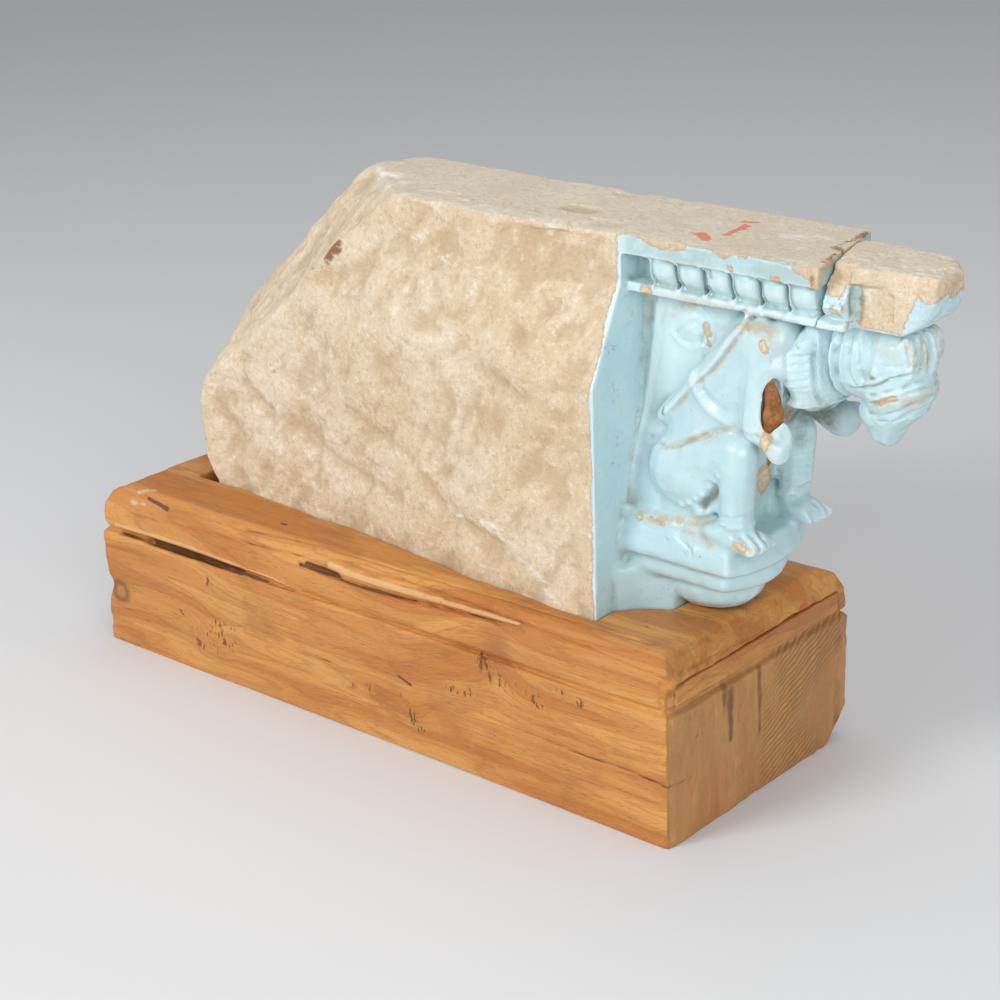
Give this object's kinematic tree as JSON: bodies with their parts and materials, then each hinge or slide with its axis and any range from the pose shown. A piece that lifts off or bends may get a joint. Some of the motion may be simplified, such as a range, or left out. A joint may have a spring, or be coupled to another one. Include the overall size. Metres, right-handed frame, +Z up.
{
  "type": "stone corbel",
  "caption": "Carved stone corbel: rough wall tail, crouching lion in light blue paint between a dentilled slab and a stepped bracket, standing in a pocket of a moulded wooden base.",
  "frame": {"origin": "middle of the wooden base's underside", "axes": "+X is the way the corbel projects, towards the lion's head; +Y runs across it; +Z is up"},
  "size_m": [0.515, 0.157, 0.291],
  "materials": {
    "base_wood": "old waxed teak, saw marks and cracks, pale paint spots",
    "strip_wood": "old waxed teak, grain across the base",
    "corbel_stone": "bare hewn stone on the tail, glossy light blue paint on the carving",
    "fragment_stone": "glossy light blue paint, bare stone on the broken slab",
    "filler": "rough brown mortar-like adhesive"
  },
  "bodies": {
    "root": {"base_block": "base_wood", "tail_end_strip": "strip_wood", "head_end_strip": "strip_wood", "corbel_block": "corbel_stone", "front_fragment": "fragment_stone", "repair_fill": "filler"}
  },
  "joints": []
}
